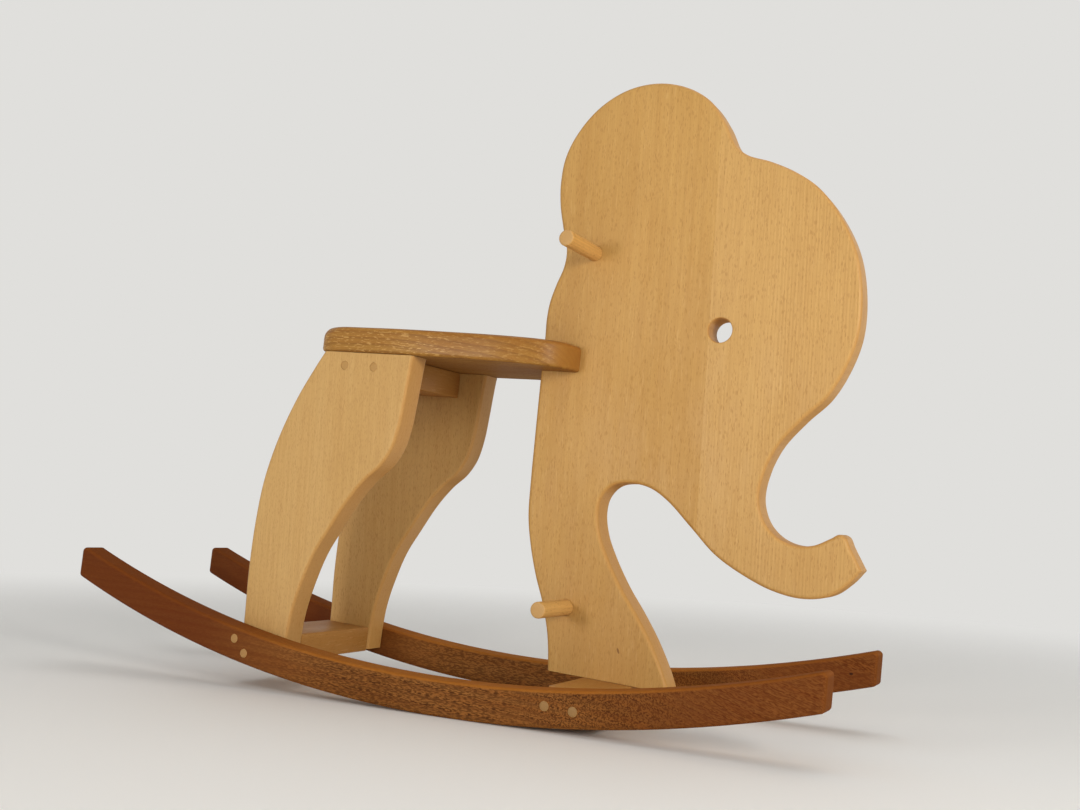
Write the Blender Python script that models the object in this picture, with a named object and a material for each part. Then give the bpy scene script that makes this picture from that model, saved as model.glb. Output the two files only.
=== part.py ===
"""Wooden rocking elephant: a flat head board on two curved rockers, with a seat on two rear legs.

Everything is drawn level, in a frame whose origin is the lowest point of the rockers, with +X to the
trunk and +Z up. One empty then tips that frame forward to the angle at which the toy comes to rest.
"""

import math

import bmesh
import bpy
import numpy as np
from mathutils import Matrix, Vector

# Boards. Every board of the frame is cut from the same stock.
BOARD_THICKNESS = 0.025
GLUE_GAP = 0.0003
EDGE_ROUNDING = 0.0035

# Widths across the toy, from the middle outwards.
REAR_RAIL_LENGTH = 0.108
LEG_INNER_FACE = REAR_RAIL_LENGTH / 2 + GLUE_GAP
LEG_OUTER_FACE = LEG_INNER_FACE + BOARD_THICKNESS
ROCKER_INNER_FACE = LEG_OUTER_FACE + GLUE_GAP
ROCKER_OUTER_FACE = ROCKER_INNER_FACE + BOARD_THICKNESS
FRONT_RAIL_LENGTH = 2 * (ROCKER_INNER_FACE - GLUE_GAP)

# Rockers: the upper edge follows the lower edge's arc at this height above it, and the ends stand upright.
ROCKER_RADIUS = 1.160
ROCKER_HEIGHT = 0.030
ROCKER_HALF_LENGTH = 0.3745
ROCKER_CORNER = 0.004
REST_TIP = 3.5

# Rails between the two sides.
RAIL_THICKNESS = 0.024
RAIL_EASING = 0.001
FRONT_RAIL_WIDTH = 0.045
FRONT_RAIL_CENTRE = 0.168
REAR_RAIL_WIDTH = 0.052
REAR_RAIL_CENTRE = -0.154
SEAT_RAIL_WIDTH = 0.056
SEAT_RAIL_CENTRE = -0.0805

# How far the rails' tops and the legs' feet stand above the rockers' lower edge, at the rail's centre.
RAIL_TOP_RISE = 0.0278
LEG_FOOT_RISE = 0.0057

# Seat.
SEAT_BOTTOM = 0.3045
SEAT_THICKNESS = 0.0235
SEAT_OVERHANG = 0.0032
SEAT_HALF_WIDTH = LEG_OUTER_FACE + SEAT_OVERHANG

# The seat's lower edge is eased and its upper edge rounded, more so behind where the rider leans back.
SEAT_LOWER_ROUNDING = 0.003
SEAT_UPPER_ROUNDING = 0.005
SEAT_BACK_ROUNDING = 0.0105
BACK_ROUNDING_STARTS = -0.098
BACK_ROUNDING_FULL = -0.126

# Round bars that pass through the head board.
BAR_DIAMETER = 0.014
BAR_END_ROUNDING = 0.0015
HANDLE_LENGTH = 0.146
FOOT_REST_LENGTH = 0.134

# Wooden pins, and the holes drilled for them.
PIN_DIAMETER = 0.008
PIN_CLEARANCE = 0.0003
PIN_END_CHAMFER = 0.0005
PIN_DEPTH_IN_RAIL = 0.028
PIN_DEPTH_IN_HEAD = 0.030
PIN_DEPTH_IN_SEAT = 0.015
SLOT_PIN_DEPTH = 0.028
LEG_PIN_SPACING = 0.0325
FRONT_PIN_SPACING = 0.025
FOOT_PIN_SPACING = 0.022
SEAT_PIN_SPACING = 0.056
REAR_PIN_OFFSETS = ((-0.0115, 0.0055), (0.0015, -0.0060))
DRILL_OVERRUN = 0.010

# Eye: a plain hole with softened edges.
EYE_DIAMETER = 0.021
EYE_ROUNDING = 0.0015

# How closely the curves are followed.
TURN_PER_POINT = math.radians(7)
LONGEST_STEP = 0.030
SHORTEST_STEP = 0.001
SAME_POINT = 1e-6
ROUNDING_STEPS = 2
SEAT_ROUNDING_STEPS = 4
CORNER_STEPS = 4
SIDES_OF_BARS = 28
SIDES_OF_PINS = 16
SHARP_ANGLE = math.radians(40)

# Places and outlines on the head board and the legs are millimetres in the level frame, drawn with
# the seat's underside at this height. Runs of an outline meet at corners.
DRAWN_SEAT_BOTTOM = 304.5
SLOT_LINE = 72
HANDLE_PLACE = (114.5, 413)
FOOT_REST_PLACE = (122, 97)
EYE_PLACE = (238.5, 347.5)
HEAD_BACK = (
    (111, 20), (109.5, 45), (105.5, 72), (97.5, 98), (88, 121), (80, 146), (74.5, 172), (73, 205),
    (72.5, 240), (SLOT_LINE, 295), (SLOT_LINE, 335), (71.5, 352), (73, 368), (77.5, 384), (83.5, 401),
    (84.5, 416), (78.5, 437), (73, 459), (71, 481), (73.5, 504), (84, 527), (103, 549), (129, 564),
    (158, 568.5), (186, 563), (209, 549.5), (225, 529), (236, 509), (247, 500), (268, 493.5),
    (290, 484), (311, 470), (331, 446.5), (347, 416), (354.5, 381), (354.5, 348), (347, 321),
    (334, 296), (315, 276), (297, 253), (287.5, 229), (285.5, 208), (292, 190.5), (304, 179.5),
    (319, 175), (333, 176.5), (347, 184),
)
TRUNK_END = ((347, 184), (352.5, 187.5), (358, 186), (362.5, 178), (373, 161))
TRUNK_UNDERSIDE = (
    (373, 161), (364, 149.5), (350, 138), (328, 133), (303, 136), (277, 145.5), (252, 159),
    (229, 179), (206, 199), (189, 208.5), (171, 211), (155, 207.5), (145.5, 197), (143, 183),
    (147, 164), (157, 144), (172, 121), (188, 101), (202.5, 81), (215, 60), (223, 43), (232, 20),
)
LEG_BACK = (
    (-179, 5), (-179.5, 45), (-181.5, 92), (-180.5, 140), (-176, 180), (-165, 220), (-149, 258),
    (-131, 290), (-112, 320),
)
LEG_FRONT = (
    (-20, 320), (-23, 304), (-25, 285), (-27, 262), (-29.5, 240), (-35, 219), (-45, 203),
    (-60, 189), (-76, 169), (-93, 141), (-107, 116), (-117, 88), (-124, 60), (-126.5, 33), (-127, 5),
)

# Half the seat's outline: millimetres along the toy, and a share of the seat's half width.
SEAT_HALF = (
    (-134, 0.45), (-133.5, 0.68), (-131.2, 0.83), (-125.6, 0.93), (-115.5, 0.982), (-98, 0.998),
    (-75, 1), (-50, 1), (-22, 0.976), (10, 0.927), (40, 0.879), (65, 0.812), (85, 0.727),
    (97, 0.642), (105, 0.545), (109.5, 0.424), (111, 0.267), (111, 0),
)

BEECH = (0.80, 0.62, 0.42, 1.0)
BEECH_ROUND = (0.78, 0.58, 0.36, 1.0)
RED_OAK = (0.47, 0.27, 0.14, 1.0)


def clear_scene():
    for item in list(bpy.data.objects):
        bpy.data.objects.remove(item, do_unlink=True)


def make_material(name, colour, roughness):
    material = bpy.data.materials.new(name)
    material.use_nodes = True
    shader = material.node_tree.nodes["Principled BSDF"]
    shader.inputs["Base Color"].default_value = colour
    shader.inputs["Roughness"].default_value = roughness
    shader.inputs["Metallic"].default_value = 0.0
    return material


def rocker_bottom(x):
    """Height of the rockers' lower edge at this distance from their lowest point."""
    return ROCKER_RADIUS - math.sqrt(ROCKER_RADIUS ** 2 - x ** 2)


def rail_top(centre):
    return rocker_bottom(centre) + RAIL_TOP_RISE


def slot_bottom():
    """The seat's slot stops just short of the head board's back edge, which is straight here."""
    return SLOT_LINE / 1000 - GLUE_GAP


def seat_middle():
    return SEAT_BOTTOM + SEAT_THICKNESS / 2


def pin_hole():
    return PIN_DIAMETER + 2 * PIN_CLEARANCE


def pair(centre, spacing):
    return (centre - spacing / 2, centre + spacing / 2)


def foot_pin_places():
    return pair(FRONT_RAIL_CENTRE, FOOT_PIN_SPACING)


def seat_pin_places():
    return pair(0, SEAT_PIN_SPACING)


def front_pin_places():
    height = rail_top(FRONT_RAIL_CENTRE) - RAIL_THICKNESS / 2
    return [(x, height) for x in pair(FRONT_RAIL_CENTRE, FRONT_PIN_SPACING)]


def leg_pin_places():
    height = SEAT_BOTTOM - GLUE_GAP - BOARD_THICKNESS / 2
    return [(x, height) for x in pair(SEAT_RAIL_CENTRE, LEG_PIN_SPACING)]


def rear_pin_places():
    middle = rail_top(REAR_RAIL_CENTRE) - RAIL_THICKNESS / 2
    return [(REAR_RAIL_CENTRE + along, middle + up) for along, up in REAR_PIN_OFFSETS]


def follow_seat(drawn):
    """Metres from drawn millimetres: what is below the seat stretches with it, the rest rides on it."""
    drawn = np.array(drawn, float) / 1000
    drawn_seat = DRAWN_SEAT_BOTTOM / 1000
    below = drawn[..., 1] * SEAT_BOTTOM / drawn_seat
    above = drawn[..., 1] + SEAT_BOTTOM - drawn_seat
    heights = np.where(drawn[..., 1] < drawn_seat, below, above)
    return np.stack((drawn[..., 0], heights), axis=-1)


def follow_width(shares):
    """Metres from a distance in millimetres and a share of the seat's half width."""
    return np.array(shares, float) * (0.001, SEAT_HALF_WIDTH)


def ease(share):
    """Turn a share from 0 to 1 into one that starts and ends gently."""
    return share * share * (3 - 2 * share)


def smooth_run(knots, steps=24):
    """A centripetal Catmull-Rom curve through the knots, sampled finely."""
    first = 2 * knots[0] - knots[1]
    last = 2 * knots[-1] - knots[-2]
    padded = np.vstack((first, knots, last))
    spacing = np.sqrt(np.linalg.norm(np.diff(padded, axis=0), axis=1))
    times = np.concatenate(((0.0,), np.cumsum(spacing)))
    samples = [knots[0]]
    for i in range(1, len(padded) - 2):
        t0, t1, t2, t3 = times[i - 1:i + 3]
        p0, p1, p2, p3 = padded[i - 1:i + 3]
        for t in np.linspace(t1, t2, steps + 1)[1:]:
            a1 = ((t1 - t) * p0 + (t - t0) * p1) / (t1 - t0)
            a2 = ((t2 - t) * p1 + (t - t1) * p2) / (t2 - t1)
            a3 = ((t3 - t) * p2 + (t - t2) * p3) / (t3 - t2)
            b1 = ((t2 - t) * a1 + (t - t0) * a2) / (t2 - t0)
            b2 = ((t3 - t) * a2 + (t - t1) * a3) / (t3 - t1)
            samples.append(((t2 - t) * b1 + (t - t1) * b2) / (t2 - t1))
    return np.array(samples)


def thinned(points):
    """Keep a point where the curve has turned or run far enough, and always both ends."""
    kept = [points[0]]
    turned = 0.0
    run = 0.0
    for before, here, after in zip(points[:-2], points[1:-1], points[2:]):
        into = here - before
        out = after - here
        turned += abs(math.atan2(into[0] * out[1] - into[1] * out[0], into @ out))
        run += np.linalg.norm(into)
        if turned >= TURN_PER_POINT or run >= LONGEST_STEP:
            kept.append(here)
            turned = 0.0
            run = 0.0
    if np.linalg.norm(points[-1] - kept[-1]) < SHORTEST_STEP:
        kept.pop()
    kept.append(points[-1])
    return kept


def closed_outline(*runs):
    """Join thinned runs end to end into one closed outline, counterclockwise."""
    outline = []
    for run in runs:
        for point in thinned(run):
            if not outline or np.linalg.norm(point - outline[-1]) > SAME_POINT:
                outline.append(point)
    if np.linalg.norm(outline[0] - outline[-1]) < SAME_POINT:
        outline.pop()
    outline = np.array(outline)
    following = np.roll(outline, -1, axis=0)
    area = (outline[:, 0] * following[:, 1] - outline[:, 1] * following[:, 0]).sum()
    return outline if area > 0 else outline[::-1]


def inset(outline, distance):
    """Move every side of the outline inwards by a distance, which may change from point to point."""
    ahead = np.roll(outline, -1, axis=0) - outline
    ahead /= np.linalg.norm(ahead, axis=1)[:, None]
    behind = np.roll(ahead, 1, axis=0)
    inward_ahead = np.column_stack((-ahead[:, 1], ahead[:, 0]))
    inward_behind = np.column_stack((-behind[:, 1], behind[:, 0]))
    middle = inward_ahead + inward_behind
    stretch = 2 / (middle * middle).sum(axis=1)
    return outline + middle * (stretch * distance)[:, None]


def quarter_round(radius, steps):
    """Places on a rounded edge: how far each is behind the face, and how far short of the side."""
    angles = [math.pi / 2 * step / steps for step in range(steps + 1)]
    return [(radius * (1 - math.cos(angle)), radius * (1 - math.sin(angle))) for angle in angles]


def rounded_plate(outline, thickness, lower, upper, steps):
    """A board with this outline in its own XY plane, its two long edges rounded to quarter circles.

    Each rounding is one radius, or an array with a radius for every point of the outline.
    """
    count = len(outline)
    levels = [(behind - thickness / 2, short) for behind, short in quarter_round(lower, steps)]
    for behind, short in reversed(quarter_round(upper, steps)):
        levels.append((thickness / 2 - behind, short))
    board = bmesh.new()
    rings = []
    for height, short in levels:
        points = np.column_stack((inset(outline, short), np.broadcast_to(height, count)))
        rings.append([board.verts.new(point) for point in points])
    for lower, upper in zip(rings, rings[1:]):
        for i in range(count):
            j = (i + 1) % count
            board.faces.new((lower[i], lower[j], upper[j], upper[i]))
    board.faces.new(list(reversed(rings[0])))
    board.faces.new(rings[-1])
    return board


def sawn_board(outline):
    """A board of the frame's stock, both edges rounded alike."""
    return rounded_plate(outline, BOARD_THICKNESS, EDGE_ROUNDING, EDGE_ROUNDING, ROUNDING_STEPS)


def cut_square(board, point, outward):
    """Saw the board off square at a plane and close the end."""
    parts = board.verts[:] + board.edges[:] + board.faces[:]
    cut = bmesh.ops.bisect_plane(
        board, geom=parts, dist=SAME_POINT / 10, plane_co=point, plane_no=outward, clear_outer=True
    )
    edges = [item for item in cut["geom_cut"] if isinstance(item, bmesh.types.BMEdge)]
    bmesh.ops.edgeloop_fill(board, edges=edges)
    bmesh.ops.recalc_face_normals(board, faces=board.faces[:])


def add_turned(solid, start, end, stations, sides):
    """Add a turned solid from start to end; each station is a distance along it and a radius."""
    start = Vector(start)
    direction = (Vector(end) - start).normalized()
    turn = direction.to_track_quat("Z", "Y").to_matrix().to_4x4()
    place = Matrix.Translation(start) @ turn
    rings = []
    for distance, radius in stations:
        ring = []
        for i in range(sides):
            angle = 2 * math.pi * (i + 0.5) / sides
            spot = Vector((radius * math.cos(angle), radius * math.sin(angle), distance))
            ring.append(solid.verts.new(place @ spot))
        rings.append(ring)
    for lower, upper in zip(rings, rings[1:]):
        for i in range(sides):
            j = (i + 1) % sides
            solid.faces.new((lower[i], lower[j], upper[j], upper[i]))
    solid.faces.new(list(reversed(rings[0])))
    solid.faces.new(rings[-1])


def add_drill(cutters, start, end, diameter, sides):
    length = (Vector(end) - Vector(start)).length
    add_turned(cutters, start, end, ((0, diameter / 2), (length, diameter / 2)), sides)


def add_pin_drill(cutters, start, end):
    add_drill(cutters, start, end, pin_hole(), SIDES_OF_PINS)


def add_box(solid, low, high):
    centre = (Vector(low) + Vector(high)) / 2
    size = Vector(high) - Vector(low)
    place = Matrix.Translation(centre) @ Matrix.Diagonal((*size, 1))
    bmesh.ops.create_cube(solid, size=1, matrix=place)


def add_object(name, solid, frame, material=None):
    mesh = bpy.data.meshes.new(name)
    solid.to_mesh(mesh)
    solid.free()
    item = bpy.data.objects.new(name, mesh)
    bpy.context.scene.collection.objects.link(item)
    item.parent = frame
    if material:
        mesh.materials.append(material)
        mesh.shade_smooth()
        mesh.set_sharp_from_angle(angle=SHARP_ANGLE)
    return item


def add_copy(name, original, location):
    copy = bpy.data.objects.new(name, original.data)
    bpy.context.scene.collection.objects.link(copy)
    copy.parent = original.parent
    copy.rotation_euler = original.rotation_euler
    copy.location = location
    return copy


def add_bar(name, start, end, diameter, rounding, steps, sides, frame, material):
    """A round wooden bar whose ends are eased over by the rounding."""
    length = (Vector(end) - Vector(start)).length
    near = [(behind, diameter / 2 - short) for behind, short in quarter_round(rounding, steps)]
    far = [(length - distance, radius) for distance, radius in reversed(near)]
    solid = bmesh.new()
    add_turned(solid, start, end, near + far, sides)
    return add_object(name, solid, frame, material)


def add_pin(name, start, end, frame, material):
    add_bar(name, start, end, PIN_DIAMETER, PIN_END_CHAMFER, 1, SIDES_OF_PINS, frame, material)


def stand_on_edge(board, across):
    """Turn a flat board upright, lengthwise along X, with its middle at this distance across."""
    board.rotation_euler = (math.radians(90), 0, 0)
    board.location = (0, across, 0)


def cut_away(board, cutter_solid):
    cutter = add_object(board.name + "_cutter", cutter_solid, board.parent)
    cutter.hide_render = True
    cutter.display_type = "WIRE"
    cut = board.modifiers.new("joinery", "BOOLEAN")
    cut.operation = "DIFFERENCE"
    cut.solver = "EXACT"
    cut.object = cutter


def heading(angle):
    return np.array((math.cos(angle), math.sin(angle)))


def rounded_corner(corner, arriving, leaving):
    """Points on a circle that touches both sides of a corner. The sides' headings turn to the left."""
    reach = ROCKER_CORNER * math.tan((leaving - arriving) / 2)
    centre = corner - reach * heading(arriving) + ROCKER_CORNER * heading(arriving + math.pi / 2)
    turns = np.linspace(arriving, leaving, CORNER_STEPS + 1)
    return [centre + ROCKER_CORNER * heading(turn - math.pi / 2) for turn in turns]


def rocker_outline():
    """An arc with a point at each whole degree, the same arc raised, and upright ends between them."""
    slope = math.asin(ROCKER_HALF_LENGTH / ROCKER_RADIUS)
    clear = math.asin((ROCKER_HALF_LENGTH - 2 * ROCKER_CORNER) / ROCKER_RADIUS)
    last = int(math.degrees(clear))
    sweep = [ROCKER_RADIUS * math.sin(math.radians(degree)) for degree in range(-last, last + 1)]
    bottom = [(x, rocker_bottom(x)) for x in sweep]
    top = [(x, z + ROCKER_HEIGHT) for x, z in reversed(bottom)]
    low = np.array((ROCKER_HALF_LENGTH, rocker_bottom(ROCKER_HALF_LENGTH)))
    front_end = rounded_corner(low, slope, math.pi / 2)
    front_end += rounded_corner(low + (0, ROCKER_HEIGHT), math.pi / 2, math.pi + slope)
    back_end = [(-x, z) for x, z in reversed(front_end)]
    return np.array(bottom + front_end + top + back_end)


def add_eye_drill(cutters):
    """The eye's hole flares to a quarter circle at both faces of the board."""
    x, z = follow_seat(EYE_PLACE)
    face = BOARD_THICKNESS / 2
    flare = quarter_round(EYE_ROUNDING, ROUNDING_STEPS)
    near = [(BOARD_THICKNESS - face + behind, EYE_DIAMETER / 2 + short) for behind, short in flare]
    near.insert(0, (0, near[0][1]))
    far = [(2 * BOARD_THICKNESS - distance, radius) for distance, radius in reversed(near)]
    start = (x, -BOARD_THICKNESS, z)
    end = (x, BOARD_THICKNESS, z)
    add_turned(cutters, start, end, near + far, SIDES_OF_BARS)


def head_board(frame, material):
    runs = [smooth_run(follow_seat(knots)) for knots in (HEAD_BACK, TRUNK_END, TRUNK_UNDERSIDE)]
    solid = sawn_board(closed_outline(*runs))
    foot = rail_top(FRONT_RAIL_CENTRE)
    cut_square(solid, (0, foot + GLUE_GAP, 0), (0, -1, 0))
    board = add_object("head_board", solid, frame, material)
    stand_on_edge(board, 0)
    cutters = bmesh.new()
    for x, z in (follow_seat(HANDLE_PLACE), follow_seat(FOOT_REST_PLACE)):
        start = (x, -BOARD_THICKNESS, z)
        end = (x, BOARD_THICKNESS, z)
        add_drill(cutters, start, end, BAR_DIAMETER + 2 * PIN_CLEARANCE, SIDES_OF_BARS)
    add_eye_drill(cutters)
    for x in foot_pin_places():
        top = foot + PIN_DEPTH_IN_HEAD + PIN_CLEARANCE
        add_pin_drill(cutters, (x, 0, foot - DRILL_OVERRUN), (x, 0, top))
    z = seat_middle()
    end = slot_bottom() + SLOT_PIN_DEPTH + PIN_CLEARANCE
    add_pin_drill(cutters, (slot_bottom() - DRILL_OVERRUN, 0, z), (end, 0, z))
    cut_away(board, cutters)


def handle_and_foot_rest(frame, material):
    bars = (
        ("handle_dowel", HANDLE_PLACE, HANDLE_LENGTH),
        ("foot_rest_dowel", FOOT_REST_PLACE, FOOT_REST_LENGTH),
    )
    for name, place, length in bars:
        x, z = follow_seat(place)
        add_bar(
            name, (x, -length / 2, z), (x, length / 2, z), BAR_DIAMETER, BAR_END_ROUNDING,
            ROUNDING_STEPS, SIDES_OF_BARS, frame, material,
        )


def seat(frame, material):
    half = smooth_run(follow_width(SEAT_HALF))
    other = half[::-1] * (1, -1)
    outline = closed_outline(half, other)
    share = (outline[:, 0] - BACK_ROUNDING_STARTS) / (BACK_ROUNDING_FULL - BACK_ROUNDING_STARTS)
    share = ease(np.clip(share, 0, 1))
    upper = SEAT_UPPER_ROUNDING + (SEAT_BACK_ROUNDING - SEAT_UPPER_ROUNDING) * share
    solid = rounded_plate(outline, SEAT_THICKNESS, SEAT_LOWER_ROUNDING, upper, SEAT_ROUNDING_STEPS)
    board = add_object("seat", solid, frame, material)
    board.location = (0, 0, seat_middle())
    slot = bmesh.new()
    half_slot = BOARD_THICKNESS / 2 + GLUE_GAP
    low = (slot_bottom(), -half_slot, seat_middle() - SEAT_THICKNESS)
    high = (half[-1][0] + DRILL_OVERRUN, half_slot, seat_middle() + SEAT_THICKNESS)
    add_box(slot, low, high)
    cut_away(board, slot)
    holes = bmesh.new()
    back = slot_bottom() - SLOT_PIN_DEPTH - PIN_CLEARANCE
    front = slot_bottom() + DRILL_OVERRUN
    add_pin_drill(holes, (back, 0, seat_middle()), (front, 0, seat_middle()))
    for y in seat_pin_places():
        top = SEAT_BOTTOM + PIN_DEPTH_IN_SEAT + PIN_CLEARANCE
        bottom = SEAT_BOTTOM - DRILL_OVERRUN
        add_pin_drill(holes, (SEAT_RAIL_CENTRE, y, bottom), (SEAT_RAIL_CENTRE, y, top))
    cut_away(board, holes)


def rail(name, centre, width, top, thickness, length, frame, material):
    """A plain bar across the toy; the four edges that run across it are eased."""
    solid = bmesh.new()
    low = (centre - width / 2, -length / 2, top - thickness)
    high = (centre + width / 2, length / 2, top)
    add_box(solid, low, high)
    across = [edge for edge in solid.edges if edge.verts[0].co.y * edge.verts[1].co.y < 0]
    bmesh.ops.bevel(solid, geom=across, offset=RAIL_EASING, segments=1, affect="EDGES")
    return add_object(name, solid, frame, material)


def side_holes(places, inner_end, outer_end):
    """Pin holes on both sides of the toy, from the inner to the outer end."""
    cutters = bmesh.new()
    for x, z in places:
        for side in (-1, 1):
            add_pin_drill(cutters, (x, side * inner_end, z), (x, side * outer_end, z))
    return cutters


def end_holes(places, length):
    """Pin holes in both ends of a rail of this length."""
    depth = PIN_DEPTH_IN_RAIL + PIN_CLEARANCE
    return side_holes(places, length / 2 - depth, length / 2 + DRILL_OVERRUN)


def front_rail(frame, material):
    top = rail_top(FRONT_RAIL_CENTRE)
    board = rail(
        "front_rail", FRONT_RAIL_CENTRE, FRONT_RAIL_WIDTH, top, RAIL_THICKNESS, FRONT_RAIL_LENGTH,
        frame, material,
    )
    cutters = end_holes(front_pin_places(), FRONT_RAIL_LENGTH)
    for x in foot_pin_places():
        bottom = top - RAIL_THICKNESS - DRILL_OVERRUN
        add_pin_drill(cutters, (x, 0, bottom), (x, 0, top + DRILL_OVERRUN))
    cut_away(board, cutters)


def rear_rail(frame, material):
    board = rail(
        "rear_rail", REAR_RAIL_CENTRE, REAR_RAIL_WIDTH, rail_top(REAR_RAIL_CENTRE), RAIL_THICKNESS,
        REAR_RAIL_LENGTH, frame, material,
    )
    cut_away(board, end_holes(rear_pin_places(), REAR_RAIL_LENGTH))


def seat_rail(frame, material):
    top = SEAT_BOTTOM - GLUE_GAP
    board = rail(
        "seat_rail", SEAT_RAIL_CENTRE, SEAT_RAIL_WIDTH, top, BOARD_THICKNESS, REAR_RAIL_LENGTH,
        frame, material,
    )
    cutters = end_holes(leg_pin_places(), REAR_RAIL_LENGTH)
    for y in seat_pin_places():
        bottom = top - BOARD_THICKNESS - DRILL_OVERRUN
        start = (SEAT_RAIL_CENTRE, y, bottom)
        end = (SEAT_RAIL_CENTRE, y, top + DRILL_OVERRUN)
        add_pin_drill(cutters, start, end)
    cut_away(board, cutters)


def rear_legs(frame, material):
    runs = [smooth_run(follow_seat(knots)) for knots in (LEG_BACK, LEG_FRONT)]
    solid = sawn_board(closed_outline(*runs))
    foot = rocker_bottom(REAR_RAIL_CENTRE) + LEG_FOOT_RISE
    cut_square(solid, (0, SEAT_BOTTOM - GLUE_GAP, 0), (0, 1, 0))
    cut_square(solid, (0, foot, 0), (0, -1, 0))
    middle = (LEG_INNER_FACE + LEG_OUTER_FACE) / 2
    right = add_object("rear_leg_right", solid, frame, material)
    stand_on_edge(right, -middle)
    left = add_copy("rear_leg_left", right, (0, middle, 0))
    places = leg_pin_places() + rear_pin_places()
    for leg in (right, left):
        drills = side_holes(places, LEG_INNER_FACE - DRILL_OVERRUN, LEG_OUTER_FACE + DRILL_OVERRUN)
        cut_away(leg, drills)


def rockers(frame, material):
    solid = sawn_board(rocker_outline())
    middle = (ROCKER_INNER_FACE + ROCKER_OUTER_FACE) / 2
    right = add_object("rocker_right", solid, frame, material)
    stand_on_edge(right, -middle)
    left = add_copy("rocker_left", right, (0, middle, 0))
    places = front_pin_places() + rear_pin_places()
    inner = ROCKER_INNER_FACE - DRILL_OVERRUN
    outer = ROCKER_OUTER_FACE + DRILL_OVERRUN
    for rocker in (right, left):
        cut_away(rocker, side_holes(places, inner, outer))


def side_pins(frame, material):
    """Pins driven in from the outside: through rocker or leg, and into the end of a rail."""
    groups = (
        ("front_rail_pin", front_pin_places(), FRONT_RAIL_LENGTH, ROCKER_OUTER_FACE),
        ("rear_rail_pin", rear_pin_places(), REAR_RAIL_LENGTH, ROCKER_OUTER_FACE),
        ("leg_top_pin", leg_pin_places(), REAR_RAIL_LENGTH, LEG_OUTER_FACE),
    )
    for group, places, rail_length, outer in groups:
        inner = rail_length / 2 - PIN_DEPTH_IN_RAIL
        for side_name, side in (("right", -1), ("left", 1)):
            for number, (x, z) in enumerate(places, start=1):
                name = "%s_%s_%d" % (group, side_name, number)
                add_pin(name, (x, side * inner, z), (x, side * outer, z), frame, material)


def middle_pins(frame, material):
    """Pins that hold the head board to the front rail and the seat to its rail and the head board."""
    top = rail_top(FRONT_RAIL_CENTRE)
    for number, x in enumerate(foot_pin_places(), start=1):
        start = (x, 0, top - RAIL_THICKNESS)
        add_pin("foot_pin_%d" % number, start, (x, 0, top + PIN_DEPTH_IN_HEAD), frame, material)
    for side_name, y in zip(("right", "left"), seat_pin_places()):
        start = (SEAT_RAIL_CENTRE, y, SEAT_BOTTOM - GLUE_GAP - BOARD_THICKNESS)
        end = (SEAT_RAIL_CENTRE, y, SEAT_BOTTOM + PIN_DEPTH_IN_SEAT)
        add_pin("seat_pin_" + side_name, start, end, frame, material)
    start = (slot_bottom() - SLOT_PIN_DEPTH, 0, seat_middle())
    end = (slot_bottom() + SLOT_PIN_DEPTH, 0, seat_middle())
    add_pin("slot_pin", start, end, frame, material)


def bring_to_rest(frame):
    """Tip the level frame forward, then put the bottom centre of its box at the world's origin."""
    frame.rotation_euler = (0, math.radians(REST_TIP), 0)
    bpy.context.view_layer.update()
    corners = []
    for item in frame.children:
        if item.display_type != "WIRE":
            corners += [item.matrix_world @ vertex.co for vertex in item.data.vertices]
    corners = np.array(corners)
    low = corners.min(axis=0)
    high = corners.max(axis=0)
    frame.location = (-(low[0] + high[0]) / 2, 0, -low[2])


def build():
    clear_scene()
    frame = bpy.data.objects.new("level_frame", None)
    bpy.context.scene.collection.objects.link(frame)
    beech = make_material("beech_board", BEECH, 0.5)
    beech_round = make_material("beech_dowel", BEECH_ROUND, 0.5)
    oak = make_material("red_oak", RED_OAK, 0.45)
    head_board(frame, beech)
    handle_and_foot_rest(frame, beech_round)
    seat(frame, oak)
    front_rail(frame, beech)
    rear_rail(frame, beech)
    seat_rail(frame, beech)
    rear_legs(frame, beech)
    rockers(frame, oak)
    side_pins(frame, beech_round)
    middle_pins(frame, beech_round)
    bring_to_rest(frame)


build()
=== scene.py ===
import math

import bmesh
import bpy
import numpy as np
from mathutils import Matrix, Vector


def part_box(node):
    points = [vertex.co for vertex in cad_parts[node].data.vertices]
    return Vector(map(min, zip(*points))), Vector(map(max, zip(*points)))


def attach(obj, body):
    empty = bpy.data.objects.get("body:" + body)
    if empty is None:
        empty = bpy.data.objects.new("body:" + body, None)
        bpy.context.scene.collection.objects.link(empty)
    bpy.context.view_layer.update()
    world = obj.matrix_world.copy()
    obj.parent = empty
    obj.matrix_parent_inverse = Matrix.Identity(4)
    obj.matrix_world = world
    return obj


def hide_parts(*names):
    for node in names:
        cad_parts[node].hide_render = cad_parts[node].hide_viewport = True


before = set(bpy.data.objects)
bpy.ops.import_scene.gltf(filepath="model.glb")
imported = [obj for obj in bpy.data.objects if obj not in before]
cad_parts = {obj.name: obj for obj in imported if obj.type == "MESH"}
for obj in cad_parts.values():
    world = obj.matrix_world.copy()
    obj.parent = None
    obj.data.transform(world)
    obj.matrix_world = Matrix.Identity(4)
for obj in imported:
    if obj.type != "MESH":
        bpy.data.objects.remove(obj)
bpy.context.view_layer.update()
scene = bpy.context.scene
print("frame loaded with", len(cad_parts), "nodes")


# Sizes are metres and places are (along, up) in the level frame: the toy before it tips forward.
boards = {
    "thickness": 0.025,
    "rounding": 0.0035,
    "spacing": 0.0015,      # between two points of an outline
    "steps": 9,             # rows of faces round each edge
    "guard": 0.0004,        # strip of flat face next to the rounding, which keeps the face's light even
    "seam": 0.0003,         # air left between two pieces
}

stance = {
    "tip": math.radians(3.5),
    "handlePlace": (0.1145, 0.413),
}

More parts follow.
